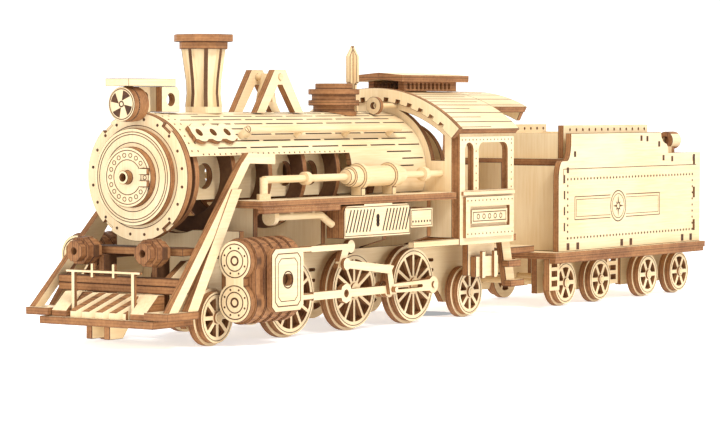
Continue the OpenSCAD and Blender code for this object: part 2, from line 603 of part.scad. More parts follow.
module tender_fittings() {
    color(BIRCH) sheet_z(14.55, 1.9) difference() {
        union() {
            rect(DRAW_X, 48, -4, 4);
            translate([DRAW_X, 0]) circle(4);
        }
        translate([DRAW_X, 0]) circle(1.5 + fit);
    }
    color(BIRCH) sheet_z(14.55, 1.9) difference() {
        union() {
            rect(125, REAR - 3.6, -3, 3);
            translate([REAR - 4, 0]) circle(4);
        }
        translate([REAR - 4, 0]) circle(1.6);
    }
    color(BIRCH) sheet_x(124) rect(-18.4, -16.4, 46.55, 50);
    color(BURNT) translate([121.8, -17.4, 51.6]) rotate([0, 90, 0]) difference() {
        cylinder(r = 2.9, h = 6);
        translate([0, 0, -1]) cylinder(r = 1.2, h = 3);
    }
}

frame_plates();
cross_members();
pilot_deck();
coupler_pocket();
pilot_slats();
pilot_beams();
buffers();
front_handrail();
step_boards();
brace_plates();
smokebox_ring();
smokebox_door();
boiler_shell();
boiler_ribs();
boiler_plates();
headlamp_disc();
headlamp_box();
headlamp_visor();
chimney_funnel();
chimney_caps();
bell_frame();
emblem_plates();
boiler_handrails();
steam_dome();
whistle();
running_boards();
air_tanks();
air_pipes();
feed_boxes();
cylinder_blocks();
cylinder_covers();
cab_sides();
cab_front();
roof_arches();
cab_roof();
roof_lantern();
backhead();
cab_floor();
cab_steps();
fall_plate();
bell();
main_rod_left();
main_rod_right();
crosshead_left();
crosshead_right();
leading_wheelset();
driver_wheelset(0);  // driver_wheelset_1
driver_wheelset(1);  // driver_wheelset_2
driver_wheelset_3();
trailing_wheelset();
tender_wheelset(0);  // tender_wheelset_1
tender_wheelset(1);  // tender_wheelset_2
tender_wheelset(2);  // tender_wheelset_3
tender_wheelset(3);  // tender_wheelset_4
tender_base();
tender_sides();
tender_walls();
tender_bunker();
tender_trucks();
tender_fittings();
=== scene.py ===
# %% [markdown]
# # A plywood jigsaw locomotive
# The real object is a kit of flat birch plywood sheets. A laser cuts each outline, so every sheet
# has a pale face and a burnt brown edge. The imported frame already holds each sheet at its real
# size. This lesson gives the sheets their wood, scorches their edges, engraves their faces, and
# sets up a plain studio around them.

# %% Load the frame
import json
import math
import bmesh
import bpy
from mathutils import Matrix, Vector


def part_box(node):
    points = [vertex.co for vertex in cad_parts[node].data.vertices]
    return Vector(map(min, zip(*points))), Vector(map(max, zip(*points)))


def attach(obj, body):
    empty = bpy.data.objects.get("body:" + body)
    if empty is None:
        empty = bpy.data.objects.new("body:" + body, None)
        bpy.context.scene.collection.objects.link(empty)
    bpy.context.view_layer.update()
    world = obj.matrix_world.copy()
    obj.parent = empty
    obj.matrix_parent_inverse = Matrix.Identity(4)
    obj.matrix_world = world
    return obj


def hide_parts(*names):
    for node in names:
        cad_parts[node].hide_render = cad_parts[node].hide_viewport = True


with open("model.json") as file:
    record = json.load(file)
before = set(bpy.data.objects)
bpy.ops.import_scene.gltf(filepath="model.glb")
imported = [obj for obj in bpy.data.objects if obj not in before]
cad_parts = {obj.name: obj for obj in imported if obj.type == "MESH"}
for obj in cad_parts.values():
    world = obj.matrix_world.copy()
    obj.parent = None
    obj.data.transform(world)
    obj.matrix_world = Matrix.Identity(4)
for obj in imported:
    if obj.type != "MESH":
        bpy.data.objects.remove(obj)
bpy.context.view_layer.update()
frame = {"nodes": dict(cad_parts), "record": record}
MM = 0.001
LOCO, TENDER = "locomotive", "tender"

# %% [markdown]
# ## Writing shaders as sums
# A shader is maths on values that change over the surface. A small class wraps a node's output, so
# that plain Python operators add the Math nodes, and one method adds any other node.

# %% A value on a surface
MM_PER_METRE = 1000
BUMP_DEPTH, BUMP_STRENGTH, SHEEN = 0.00004, 0.6, 0.25


class Value:
    def __init__(self, tree, socket):
        self.tree, self.socket = tree, socket

    def math(self, operation, *others):
        return node(self.tree, "ShaderNodeMath", {"operation": operation}, [self, *others])

    def __add__(self, other):
        return self.math("ADD", other)

    def __mul__(self, other):
        return self.math("MULTIPLY", other)

    def __sub__(self, other):
        return self.math("SUBTRACT", other)

    def clamp(self):
        return node(self.tree, "ShaderNodeClamp", {}, [self, 0.0, 1.0])

    def step(self, low, high):
        return node(self.tree, "ShaderNodeMapRange", {}, [self, low, high, 0.0, 1.0])


def node(tree, kind, settings, inputs, output=0):
    """Adds a node, sets it, fills its inputs in order (or by name) and returns one output."""
    new = tree.nodes.new(kind)
    for key, value in settings.items():
        setattr(new, key, value)
    pairs = inputs.items() if isinstance(inputs, dict) else enumerate(inputs)
    for key, value in pairs:
        if isinstance(value, Value):
            tree.links.new(value.socket, new.inputs[key])
        else:
            new.inputs[key].default_value = value
    return Value(tree, new.outputs[output])


def mix_colours(factor, low, high):
    """A colour between two others; each is a tuple or a Value."""
    tree = factor.tree
    new = tree.nodes.new("ShaderNodeMix")
    new.data_type = "RGBA"
    for socket, value in ((new.inputs[0], factor), (new.inputs[6], low), (new.inputs[7], high)):
        if isinstance(value, Value):
            tree.links.new(value.socket, socket)
        else:
            socket.default_value = value
    return Value(tree, new.outputs[2])


def stretched_noise(tree, stretch, detail, rough=0.55):
    """Noise in millimetres of the object, stretched by a scale along each axis."""
    place = node(tree, "ShaderNodeTexCoord", {}, {}, "Object")
    scale = [s * MM_PER_METRE for s in stretch]
    scaled = node(tree, "ShaderNodeVectorMath", {"operation": "MULTIPLY"}, [place, scale])
    return node(tree, "ShaderNodeTexNoise", {},
                {"Vector": scaled, "Scale": 1.0, "Detail": detail, "Roughness": rough})


def new_material(name, colour_of, rough_of, bump_of):
    """A Principled material whose colour, roughness and bump come from functions of its tree."""
    material = bpy.data.materials.new(name)
    material.use_nodes = True
    tree = material.node_tree
    shader = tree.nodes["Principled BSDF"]
    tree.links.new(colour_of(tree).socket, shader.inputs["Base Color"])
    tree.links.new(rough_of(tree).socket, shader.inputs["Roughness"])
    shader.inputs["Specular IOR Level"].default_value = SHEEN
    bump = node(tree, "ShaderNodeBump", {},
                {"Strength": BUMP_STRENGTH, "Distance": BUMP_DEPTH, "Height": bump_of(tree)})
    tree.links.new(bump.socket, shader.inputs["Normal"])
    print("material", name)
    return material


print("shader kit: Value, node, mix_colours, stretched_noise, new_material")


# %% [markdown]
# ## Birch and burnt edges
# Birch veneer is pale cream with long, faint fibres and broad warmer patches. The fibres are noise
# stretched along the sheet, so a sheet that lies along X uses a small scale on X. The cut edge is
# brown, darker in places where the beam lingered, and the five plies show as faint stripes across
# it.

# %% The wood finishes
CREAM, HONEY, TAN = (0.80, 0.645, 0.41, 1), (0.67, 0.475, 0.25, 1), (0.42, 0.26, 0.12, 1)
GLOW = (0.40, 0.19, 0.072, 1)
PLIES = 5
SCORCH, TOAST, CHAR = (0.17, 0.066, 0.024, 1), (0.12, 0.046, 0.017, 1), (0.03, 0.012, 0.006, 1)


def birch_colour(stretch, tint=0.0):
    def colour(tree):
        fibres = stretched_noise(tree, stretch, 5.0, 0.65)
        patches = stretched_noise(tree, [0.035, 0.05, 0.05], 2.0)
        warm = (fibres.step(0.35, 0.75) * 0.55 + patches.step(0.35, 0.7) * 0.5 + tint).clamp()
        base = mix_colours(warm, CREAM, HONEY)
        pores = fibres.step(0.68, 0.78) * 0.28
        return mix_colours(pores, base, TAN)
    return colour


def birch(name, stretch, tint=0.0):
    return new_material(name, birch_colour(stretch, tint),
                        lambda tree: stretched_noise(tree, stretch, 3.0) * 0.2 + 0.5,
                        lambda tree: stretched_noise(tree, stretch, 4.0))


def scorched(name, light, dark):
    def colour(tree):
        speckle = stretched_noise(tree, [1.4, 1.4, 1.4], 3.0)
        drift = stretched_noise(tree, [0.12, 0.12, 0.12], 2.0)
        dark_part = (speckle.step(0.3, 0.75) * 0.6 + drift.step(0.35, 0.65) * 0.45).clamp()
        return mix_colours(dark_part, light, dark)
    return new_material(name, colour, lambda tree: stretched_noise(tree, [2, 2, 2], 2.0) * 0.25 + 0.5,
                        lambda tree: stretched_noise(tree, [3, 3, 3], 3.0))


def plied(name, light, dark):
    """A cut edge: stripes of veneer across the sheet, and a dark seam between stacked sheets."""
    def colour(tree):
        speckle = stretched_noise(tree, [1.2, 1.2, 1.2], 3.0)
        drift = stretched_noise(tree, [0.1, 0.1, 0.1], 2.0)
        depth = node(tree, "ShaderNodeAttribute", {"attribute_name": "ply_depth"}, {}, "Fac")
        veneer = (depth * (PLIES * math.pi)).math("SINE") * 0.5 + 0.5
        seam = (depth.math("FRACT") - 0.5).math("ABSOLUTE").step(0.42, 0.49)
        patches = speckle.step(0.3, 0.75) * 0.45 + drift.step(0.35, 0.65) * 0.45
        dark_part = (patches + veneer * 0.3).clamp()
        return mix_colours(seam * 0.7, mix_colours(dark_part, light, dark), CHAR)
    return new_material(name, colour, lambda tree: stretched_noise(tree, [2, 2, 2], 2.0) * 0.25 + 0.55,
                        lambda tree: stretched_noise(tree, [3, 3, 3], 3.0))


ALONG_X, ALONG_Y, ALONG_Z = [0.08, 1.7, 1.7], [1.7, 0.08, 1.7], [1.7, 1.7, 0.08]
FINISH = {"x": birch("birch_grain_upright", ALONG_Z), "y": birch("birch_grain_lengthways", ALONG_X),
         "z": birch("birch_grain_deck", ALONG_X, 0.08), "round": birch("birch_grain_bent", ALONG_X),
         "stick": birch("birch_grain_stick", ALONG_X, 0.35)}
FINISH["cut"] = plied("burnt_edge", GLOW, SCORCH)
FINISH["rim"] = scorched("burnt_rim", TOAST, CHAR)
ENGRAVED = scorched("engraved_line", TOAST, CHAR)
# Open slots are solid slivers in the darkest char: burnt walls, plus painted shade for the dark inside
# that an open slot shows.
KERF_CHAR_AND_SHADE = scorched("open_kerf_char_and_shade", CHAR, CHAR)

# %% [markdown]
# ## Sheets: a pale face and a scorched outline
# Each solid of the frame is one sheet or one stick. Its widest faces are the veneer, and everything
# else is cut edge. The copy below finds the axis along which a solid is thin, or failing that the
# axis that most of its surface faces. It gives each face its finish and cuts a hairline bevel,
# which takes the burnt finish too, because a laser always browns the rim of what it cuts.

# %% Find the sheets in a node
RISE, SINK = 0.05, 0.12  # in mm: how far an engraving stands out of its sheet and goes into it
DRAW_IN = 2 * RISE
RIM = 0.13 * MM
PLY = 2 * MM
WELD, TOUCH = 2e-6, 0.01 * MM
FACE_LIMIT = 0.72  # how squarely a face has to look along its sheet's axis to be veneer
STICK_WIDTH, SQUARE_WITHIN, THIN_SHARE = 6 * MM, 0.1 * MM, 0.4
COPLANAR, CREASE, RIM_ANGLE = math.radians(0.4), math.radians(28), math.radians(50)
# The feed box's slotted face looks sideways, which its size alone doesn't show.
GIVEN_AXIS = {"feed_boxes": 1}
# The cylinder covers are the widest sheets, so they are drawn in to keep their engraving inside
# the frame's box.
DRAWN_IN = {"cylinder_covers"}
KEYS = ["x", "y", "z", "round", "stick", "cut", "rim"]
CUT = KEYS.index("cut")


def islands(mesh):
    """The separate solids of a bmesh, as lists of faces."""
    left = set(mesh.faces)
    while left:
        group, queue = [], [next(iter(left))]
        left.discard(queue[0])
        while queue:
            face = queue.pop()
            group.append(face)
            for edge in face.edges:
                for other in edge.link_faces:
                    if other in left:
                        left.discard(other)
                        queue.append(other)
        yield group


def sheet_axis(faces):
    """The axis a sheet is thin along, or that most of a stack's surface faces. None for a stick."""
    weight = [sum(f.calc_area() * f.normal[i] ** 2 for f in faces) for i in range(3)]
    places = [v.co for f in faces for v in f.verts]
    size = [max(p[i] for p in places) - min(p[i] for p in places) for i in range(3)]
    order = sorted(range(3), key=lambda i: size[i])
    thin, middle = size[order[0]], size[order[1]]
    if middle < STICK_WIDTH and abs(thin - middle) < SQUARE_WITHIN:
        return None
    if thin < THIN_SHARE * middle:
        return order[0]
    return max(range(3), key=lambda i: weight[i])


def bent_about(height):
    """For a sheet bent round an X axis at that height: how much a face looks outwards or inwards."""
    def facing(face):
        centre = face.calc_center_median()
        out = Vector((0, centre.y, centre.z - height)).normalized()
        return abs(face.normal.dot(out))
    return facing


def draw_in(mesh):
    """Moves a node's outermost faces a little towards the middle."""
    widest = max(abs(v.co.y) for v in mesh.verts)
    for v in mesh.verts:
        if abs(v.co.y) > widest - TOUCH:
            v.co.y -= math.copysign(DRAW_IN * MM, v.co.y)


def wooden(name, finish, bend):
    """Replaces a node by a copy with veneer faces and burnt edges."""
    source = frame["nodes"][name]
    mesh = bmesh.new()
    mesh.from_mesh(source.data)
    bmesh.ops.remove_doubles(mesh, verts=mesh.verts, dist=WELD)
    bmesh.ops.dissolve_limit(mesh, angle_limit=COPLANAR, verts=mesh.verts, edges=mesh.edges)
    if name in DRAWN_IN:
        draw_in(mesh)
    mesh.normal_update()
    depth = mesh.verts.layers.float.new("ply_depth")
    for group in islands(mesh):
        axis = GIVEN_AXIS[name] if name in GIVEN_AXIS else sheet_axis(group)
        if axis is not None:
            low = min(v.co[axis] for f in group for v in f.verts)
            for v in {v for f in group for v in f.verts}:
                v[depth] = (v.co[axis] - low) / PLY
        for face in group:
            face.smooth = True
            if finish != "auto":
                veneer = not bend or bend(face) > FACE_LIMIT
                face.material_index = KEYS.index(finish) if veneer else CUT
            elif axis is None:
                face.material_index = KEYS.index("stick")
            else:
                face.material_index = axis if abs(face.normal[axis]) > FACE_LIMIT else CUT
    for edge in mesh.edges:
        edge.smooth = len(edge.link_faces) == 2 and edge.calc_face_angle(0) < CREASE
    data = bpy.data.meshes.new(name + "_wood")
    mesh.to_mesh(data)
    mesh.free()
    for key in KEYS:
        data.materials.append(FINISH[key])
    piece = bpy.data.objects.new(name + "_wood", data)
    bpy.context.scene.collection.objects.link(piece)
    bevel = piece.modifiers.new("burnt_rim", "BEVEL")
    bevel.width, bevel.segments, bevel.material = RIM, 1, KEYS.index("rim")
    bevel.limit_method, bevel.angle_limit = "ANGLE", RIM_ANGLE
    flat = piece.modifiers.new("flat_faces", "WEIGHTED_NORMAL")
    flat.keep_sharp, flat.weight = True, 100
    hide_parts(name)
    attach(piece, next(b for b, ns in frame["record"]["behaviour"]["bodies"].items() if name in ns))


print("sheets of", PLY / MM, "mm with a burnt rim of", RIM / MM, "mm")


# %% [markdown]
# ## Dress every node
# Most nodes are flat sheets, so their axis finds their faces. The boiler shell, the roof and the
# plates that lie on the boiler are bent round an axis instead. Pipes and tanks are veneer all over,
# and stacks of sheets seen from the edge are burnt all over. The boiler's inner ribs are burnt all
# over too, as painted shade that darkens the inside of the boiler.

# %% Put the wood on
BOILER_Z = (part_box("smokebox_ring")[0][2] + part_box("smokebox_ring")[1][2]) / 2
BOILER_R = (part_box("smokebox_ring")[1][2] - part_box("smokebox_ring")[0][2]) / 2
ROOF_R = 42.4 * MM
ROOF_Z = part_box("cab_roof")[1][2] - ROOF_R
BENT = {"boiler_shell": bent_about(BOILER_Z), "emblem_plates": bent_about(BOILER_Z),
        "cab_roof": bent_about(ROOF_Z)}
VENEER_ALL_OVER = {"air_pipes", "air_tanks", "boiler_handrails"}
# boiler_ribs is in this set as painted shade: the burnt colour darkens the shaded inside of the boiler.
EDGE_AND_SHADE_ALL_OVER = {"cylinder_blocks", "buffers", "pilot_beams", "chimney_caps", "steam_dome",
                 "boiler_ribs"}
GIVEN_FINISH = {**dict.fromkeys(BENT, "round"), **dict.fromkeys(VENEER_ALL_OVER, "stick"),
                **dict.fromkeys(EDGE_AND_SHADE_ALL_OVER, "cut"), "headlamp_visor": "z"}
for name in sorted(frame["nodes"]):
    if name != "chimney_funnel":
        wooden(name, GIVEN_FINISH.get(name, "auto"), BENT.get(name))
print("dressed", len(frame["nodes"]) - 1, "nodes")

# %% [markdown]
# ## A kit for engraving
# A laser engraves lines, rings and dots. Each is modelled as a thin sliver of scorched wood, set
# into the sheet and standing a few hundredths of a millimetre out of it. A surface is a function
# that takes a place (u, v) and a height h, all in millimetres, and gives the point, so that the
# same lines work on flat and on bent sheets.

# %% Surfaces to engrave
def on_side(y, side=-1):
    """A sheet that faces sideways: u runs along X, v up. side is -1 for near and +1 for far."""
    return lambda u, v, h: (u, side * (y + h), v)


def on_front(x):
    """A sheet that faces the front: u runs along Y and v up."""
    return lambda u, v, h: (x - h, u, v)


def on_deck(z):
    """A sheet that faces up: u runs along X and v along Y."""
    return lambda u, v, h: (u, v, z + h)


def on_drum(radius, height):
    """A sheet bent round an X axis: u runs along X and v round from the top, towards the near side."""
    def place(u, v, h):
        angle = v / radius
        return (u, -(radius + h) * math.sin(angle), height + (radius + h) * math.cos(angle))
    return place


BEND_STEP = 1.5  # in mm: a line round a bent sheet is cut into pieces of at least this length


class Engraving:
    """Collects lines, rings, dots and patches on one surface, then makes one piece of them."""

    def __init__(self, name, body, material=ENGRAVED):
        self.name, self.body, self.material = name, body, material
        self.verts, self.faces = [], []

    def patch(self, surface, outline):
        """A flat patch with the given outline."""
        start, count = len(self.verts), len(outline)
        for height in (-SINK, RISE):
            self.verts += [surface(u, v, height) for u, v in outline]
        self.faces.append(tuple(start + count + i for i in range(count)))
        self.faces.append(tuple(start + count - 1 - i for i in range(count)))
        for i in range(count):
            j = (i + 1) % count
            self.faces.append((start + i, start + j, start + count + j, start + count + i))

    def line(self, surface, points, width=0.3, closed=False):
        points = list(points) + ([points[0]] if closed else [])
        for (u0, v0), (u1, v1) in zip(points, points[1:]):
            length = math.hypot(u1 - u0, v1 - v0)
            pieces = max(1, int(abs(v1 - v0) / BEND_STEP))
            du, dv = (u1 - u0) / pieces, (v1 - v0) / pieces
            side_u, side_v = -(v1 - v0) / length * width / 2, (u1 - u0) / length * width / 2
            for i in range(pieces):
                a, b = (u0 + i * du, v0 + i * dv), (u0 + (i + 1) * du, v0 + (i + 1) * dv)
                self.patch(surface, [(a[0] - side_u, a[1] - side_v), (b[0] - side_u, b[1] - side_v),
                                     (b[0] + side_u, b[1] + side_v), (a[0] + side_u, a[1] + side_v)])

    def dot(self, surface, u, v, radius, sides=10):
        self.patch(surface, [(u + radius * math.cos(2 * math.pi * i / sides),
                              v + radius * math.sin(2 * math.pi * i / sides)) for i in range(sides)])

    def ring(self, surface, u, v, radius, width=0.3, sides=40, start=0.0, turn=360.0):
        steps = max(3, int(sides * turn / 360))
        for i in range(steps):
            a, b = (math.radians(start + turn * k / steps) for k in (i, i + 1))
            inner, outer = radius - width / 2, radius + width / 2
            self.patch(surface, [(u + inner * math.cos(a), v + inner * math.sin(a)),
                                 (u + outer * math.cos(a), v + outer * math.sin(a)),
                                 (u + outer * math.cos(b), v + outer * math.sin(b)),
                                 (u + inner * math.cos(b), v + inner * math.sin(b))])

    def rivets(self, surface, start, end, step=2.2, radius=0.32):
        count = max(1, round(math.hypot(end[0] - start[0], end[1] - start[1]) / step))
        for i in range(count + 1):
            t = i / count
            self.dot(surface, start[0] + (end[0] - start[0]) * t,
                     start[1] + (end[1] - start[1]) * t, radius, 8)

    def frame(self, surface, u0, u1, v0, v1, width=0.3):
        self.line(surface, [(u0, v0), (u1, v0), (u1, v1), (u0, v1)], width, True)

    def make(self):
        data = bpy.data.meshes.new(self.name)
        data.from_pydata([Vector(v) * MM for v in self.verts], [], self.faces)
        data.materials.append(self.material)
        mesh = bmesh.new()
        mesh.from_mesh(data)
        bmesh.ops.recalc_face_normals(mesh, faces=mesh.faces)
        mesh.to_mesh(data)
        mesh.free()
        piece = bpy.data.objects.new(self.name, data)
        bpy.context.scene.collection.objects.link(piece)
        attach(piece, self.body)
        print(self.name, "with", len(self.faces), "faces on", self.body)


def mm_box(name):
    """A node's box in millimetres."""
    low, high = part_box(name)
    return [v / MM for v in low], [v / MM for v in high]


def angles(count, shift=0.0):
    """Evenly spaced angles round a circle, turned on by a share of one step."""
    return [2 * math.pi * (i + shift) / count for i in range(count)]


DRUM_Z, DRUM_R = BOILER_Z / MM, BOILER_R / MM
print("boiler axis", round(DRUM_Z, 2), "radius", round(DRUM_R, 2))

# %% [markdown]
# ## Smokebox front
# The front is three discs on a riveted ring. The rivets are burnt dots, the discs carry turned-
# looking rings, and the smallest disc has a ring of little circles round its hub.

# %% Engrave the smokebox
ring_low, ring_high = mm_box("smokebox_ring")
SHEET = ring_high[0] - ring_low[0]
RIVETS, RIVET_CIRCLE = 20, 15.3
HUB_RINGS, HUB_CIRCLE = 18, 5.85
art = Engraving("smokebox_engraving", LOCO)
rim_face, door_face, inner_face = (on_front(ring_low[0] - i * SHEET) for i in range(3))
for a in angles(RIVETS, 0.5):
    art.dot(rim_face, RIVET_CIRCLE * math.cos(a), DRUM_Z + RIVET_CIRCLE * math.sin(a), 0.42, 12)
for radius in (11.9, 11.2, 9.1):
    art.ring(door_face, 0, DRUM_Z, radius, 0.22, 72)
for radius in (7.1, 4.6):
    art.ring(inner_face, 0, DRUM_Z, radius, 0.22, 48)
for a in angles(HUB_RINGS):
    art.ring(inner_face, HUB_CIRCLE * math.cos(a), DRUM_Z + HUB_CIRCLE * math.sin(a), 0.55, 0.2, 12)
art.ring(rim_face, 0, DRUM_Z, 13.6, 0.2, 72)
art.make()

# %% [markdown]
# ## Boiler shell
# Plywood bends only where it is kerfed, so the shell is cut with rows of long slots, staggered like
# bricks. A band at each end stays whole, and the front one carries two rows of rivets. Below the
# kerfed rows only the rear part is slotted, and no slot runs under the chimney or the lamp.

# %% Kerf the shell
shell_low, shell_high = mm_box("boiler_shell")
drum = on_drum(DRUM_R, DRUM_Z)
# Each kerf slot is a dark sliver, not an opening: burnt walls, with painted shade standing in for the
# dark inside.
kerfs = Engraving("boiler_kerfs", LOCO, KERF_CHAR_AND_SHADE)
marks = Engraving("boiler_rivets", LOCO)
SLOT, BRIDGE, ROWS, PITCH = 12.4, 1.8, 9, 2.1
BAND, REAR_BAND, REAR_GAP = 6.0, 5, 1.2
LOW_ROWS, LOW_FROM, LOW_SLANT = 4, -52, 3
STACK_HALF, STACK_FROM, STACK_TO = 5.6, -116, -98
LAMP_HALF, LAMP_TO = 4, -118
for row in range(-ROWS - LOW_ROWS, ROWS + LOW_ROWS + 1):
    v = row * PITCH
    u = shell_low[0] + BAND + (row % 2) * (SLOT + BRIDGE) / 2
    if abs(row) > ROWS:
        ahead = LOW_FROM - u + LOW_SLANT * (abs(row) - ROWS)
        u += math.ceil(ahead / (SLOT + BRIDGE)) * (SLOT + BRIDGE)
    while u < shell_high[0] - REAR_BAND:
        end = min(u + SLOT, shell_high[0] - REAR_GAP)
        under_stack = abs(v) < STACK_HALF and STACK_FROM < u + SLOT / 2 < STACK_TO
        under_lamp = abs(v) < LAMP_HALF and u < LAMP_TO
        if not under_stack and not under_lamp:
            kerfs.line(drum, [(u, v), (end, v)], 0.36)
        u += SLOT + BRIDGE
for u in (shell_low[0] + 1.6, shell_low[0] + 4.2):
    marks.rivets(drum, (u, -19.6), (u, 19.6), 2.3, 0.28)
for side in (-1, 1):
    marks.rivets(drum, (shell_low[0] + BAND, side * 20.6), (-63, side * 20.6), 2.4, 0.26)
kerfs.make()
marks.make()

# %% [markdown]
# ## Chimney
# The chimney is an eight-sided funnel: facets of veneer between eight ribs, narrow in the waist and
# flared at the top. It is lofted from eight-sided rings, which gives crisp facets, and the ribs are
# flat plates.

# %% Loft the chimney
stack_low, stack_high = mm_box("chimney_funnel")
stack_x = (stack_low[0] + stack_high[0]) / 2
PROFILE = [(61.1, 5.0), (62.9, 5.0), (62.9, 4.1), (66, 3.75), (70, 4.05), (stack_high[2], 5.3)]
RIB = [(62.9, 5.0), (66.5, 4.6), (70, 4.8), (stack_high[2], 6.0)]
RIB_INNER, RIB_HALF = 2.8, 0.55


def ring_points(radius, z):
    """Eight corners whose distance from the middle is the radius."""
    return [(stack_x + radius * math.cos(a), radius * math.sin(a), z) for a in angles(8)]


def make_funnel():
    mesh = bmesh.new()
    rings = [[mesh.verts.new(Vector(p) * MM) for p in ring_points(radius, z)] for z, radius in PROFILE]
    for low, high in zip(rings, rings[1:]):
        for i in range(8):
            mesh.faces.new((low[i], low[(i + 1) % 8], high[(i + 1) % 8], high[i]))
    mesh.faces.new(rings[-1])
    mesh.faces.new(list(reversed(rings[0])))
    outline = [(radius, z) for z, radius in RIB]
    outline = [(RIB_INNER, RIB[0][0])] + outline + [(RIB_INNER, RIB[-1][0])]
    for a in angles(8):
        along = Vector((math.cos(a), math.sin(a), 0))
        across = Vector((-math.sin(a), math.cos(a), 0))
        sides = []
        for offset in (-RIB_HALF, RIB_HALF):
            sides.append([mesh.verts.new((Vector((stack_x, 0, z)) + along * r + across * offset) * MM)
                          for r, z in outline])
        for verts in (sides[0], list(reversed(sides[1]))):
            mesh.faces.new(verts)
        for i in range(len(outline)):
            j = (i + 1) % len(outline)
            edge_face = mesh.faces.new((sides[0][i], sides[1][i], sides[1][j], sides[0][j]))
            edge_face.material_index = 1
    bmesh.ops.recalc_face_normals(mesh, faces=mesh.faces)
    data = bpy.data.meshes.new("chimney_funnel_wood")
    mesh.to_mesh(data)
    mesh.free()
    data.materials.append(FINISH["x"])
    data.materials.append(FINISH["cut"])
    piece = bpy.data.objects.new("chimney_funnel_wood", data)
    bpy.context.scene.collection.objects.link(piece)
    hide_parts("chimney_funnel")
    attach(piece, LOCO)
    print("chimney_funnel_wood with", len(data.polygons), "faces")


make_funnel()

# %% [markdown]
# ## Headlamp
# The lamp's lens is a pinwheel: four burnt sectors between four pale ones, with one ring round them
# and another round the hub.

# %% Engrave the lamp
lamp_low, lamp_high = mm_box("headlamp_disc")
lamp_z = (lamp_low[2] + lamp_high[2]) / 2
lens = Engraving("headlamp_pinwheel", LOCO)
lens_face = on_front(lamp_low[0])
HUB, REACH, SECTOR = 0.9, 3.6, math.radians(45)
for k in range(4):
    start = math.radians(90 * k + 10)
    sector = [(HUB * math.cos(start), lamp_z + HUB * math.sin(start))]
    for t in (0, 0.25, 0.5, 0.75, 1):
        a = start + t * SECTOR
        sector.append((REACH * math.cos(a), lamp_z + REACH * math.sin(a)))
    lens.patch(lens_face, sector)
lens.ring(lens_face, 0, lamp_z, 4.0, 0.25, 32)
lens.ring(lens_face, 0, lamp_z, 0.7, 0.35, 14)
lens.make()

# %% [markdown]
# ## Cylinders and boxes under the running board
# The cylinder's cover plate has an eight-sided frame and an oval port, and its front cover has two
# ringed circles. The feed box beside the boiler is cut with slanting slots.

# %% Engrave the sides of the locomotive
cover_low, cover_high = mm_box("cylinder_covers")
feed_y = mm_box("feed_boxes")[1][1]
cover = Engraving("cylinder_engraving", LOCO)
# The feed box's slots are dark slivers too: burnt walls, with painted shade for the dark inside of the
# open slot.
feed = Engraving("feed_box_slots", LOCO, KERF_CHAR_AND_SHADE)
PORT_X, PORT_Z = -115.5, 17.5
CYLINDER_Y, CYLINDER_Z, BOLT_CIRCLE = 27.1, (11.9, 22.8), 3.55
FEED_SLOTS, FEED_X, FEED_STEP, FEED_SLANT = 19, -78.6, 1.62, 2.4
OVAL_X, OVAL_HALF = -63.2, 2.2
for side in (-1, 1):
    plate = on_side(cover_high[1] - DRAW_IN, side)
    for grow, width in ((0, 0.28), (1.3, 0.2)):
        half_x, half_z, corner = 5.6 - grow, 6.9 - grow, 1.3
        cover.line(plate, [(PORT_X + u, PORT_Z + v) for u, v in (
            (-half_x, -half_z + corner), (-half_x + corner, -half_z), (half_x - corner, -half_z),
            (half_x, -half_z + corner), (half_x, half_z - corner), (half_x - corner, half_z),
            (-half_x + corner, half_z), (-half_x, half_z - corner))], width, True)
    cover.ring(plate, PORT_X, PORT_Z, 2.2, 0.35, 24)
    front = on_front(cover_low[0])
    for z in CYLINDER_Z:
        for radius, width in ((4.4, 0.28), (2.7, 0.28), (1.1, 0.5)):
            cover.ring(front, side * CYLINDER_Y, z, radius, width, 32)
        for a in angles(8, 0.5):
            cover.dot(front, side * CYLINDER_Y + BOLT_CIRCLE * math.cos(a),
                      z + BOLT_CIRCLE * math.sin(a), 0.3, 8)
    box_face = on_side(feed_y, side)
    for k in range(FEED_SLOTS):
        u = FEED_X + k * FEED_STEP
        if abs(u + 1.2 - OVAL_X) > OVAL_HALF:
            feed.line(box_face, [(u, 28.2), (u + FEED_SLANT, 34.4)], 0.5)
    for z in (30.2, 31.2, 32.2):
        feed.dot(box_face, OVAL_X, z, 0.8, 20)
    feed.rivets(box_face, (-45.6, 30.2), (-36.8, 30.2), 1.5, 0.36)
    cover.frame(box_face, -46.3, -36.0, 29.0, 33.4, 0.2)
    cover.frame(box_face, -79.2, -47.4, 27.2, 35.1, 0.2)
cover.make()
feed.make()

# %% [markdown]
# ## Cab
# The roof is planked, the side has a panel with a frame where the real kit carries its name, and
# rivets run round the window openings.

